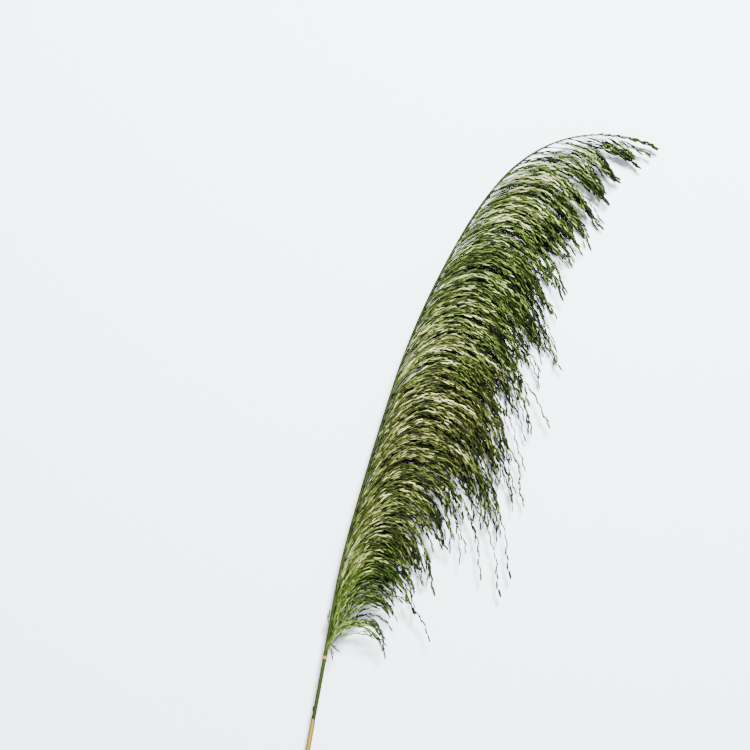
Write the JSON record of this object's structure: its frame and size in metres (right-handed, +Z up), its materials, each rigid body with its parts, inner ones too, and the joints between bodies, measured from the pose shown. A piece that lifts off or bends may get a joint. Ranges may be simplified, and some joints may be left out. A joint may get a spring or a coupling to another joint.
{
  "type": "pampas grass plume",
  "caption": "Cut plume of pampas grass lying on its side: an arched stalk with a dry leaf sheath and one-sided branches whose strands of closed spikelets all hang the same way",
  "frame": {"origin": "on the ground, under the middle of the footprint", "axes": "+Z up from the surface it lies on, +Y along the stalk towards the plume, +X to the side that the strands hang to"},
  "size_m": [0.3846, 0.8164, 0.0356],
  "materials": {
    "stalk": "green grass stalk, waxy",
    "dry_sheath": "dry straw, matte",
    "strands": "green spikelets, matte"
  },
  "bodies": {
    "root": {"stem": "stalk", "leaf_sheath": "dry_sheath", "spray_01": "strands", "spray_02": "strands", "spray_03": "strands", "spray_04": "strands", "spray_05": "strands", "spray_06": "strands", "spray_07": "strands", "spray_08": "strands", "spray_09": "strands", "spray_10": "strands", "spray_11": "strands", "spray_12": "strands", "spray_13": "strands", "spray_14": "strands", "spray_15": "strands", "spray_16": "strands", "spray_17": "strands", "spray_18": "strands", "spray_19": "strands", "spray_20": "strands", "spray_21": "strands", "spray_22": "strands", "spray_23": "strands", "spray_24": "strands", "spray_25": "strands", "spray_26": "strands", "spray_27": "strands", "spray_28": "strands", "spray_29": "strands", "spray_30": "strands", "spray_31": "strands", "spray_32": "strands", "spray_33": "strands"}
  },
  "joints": []
}
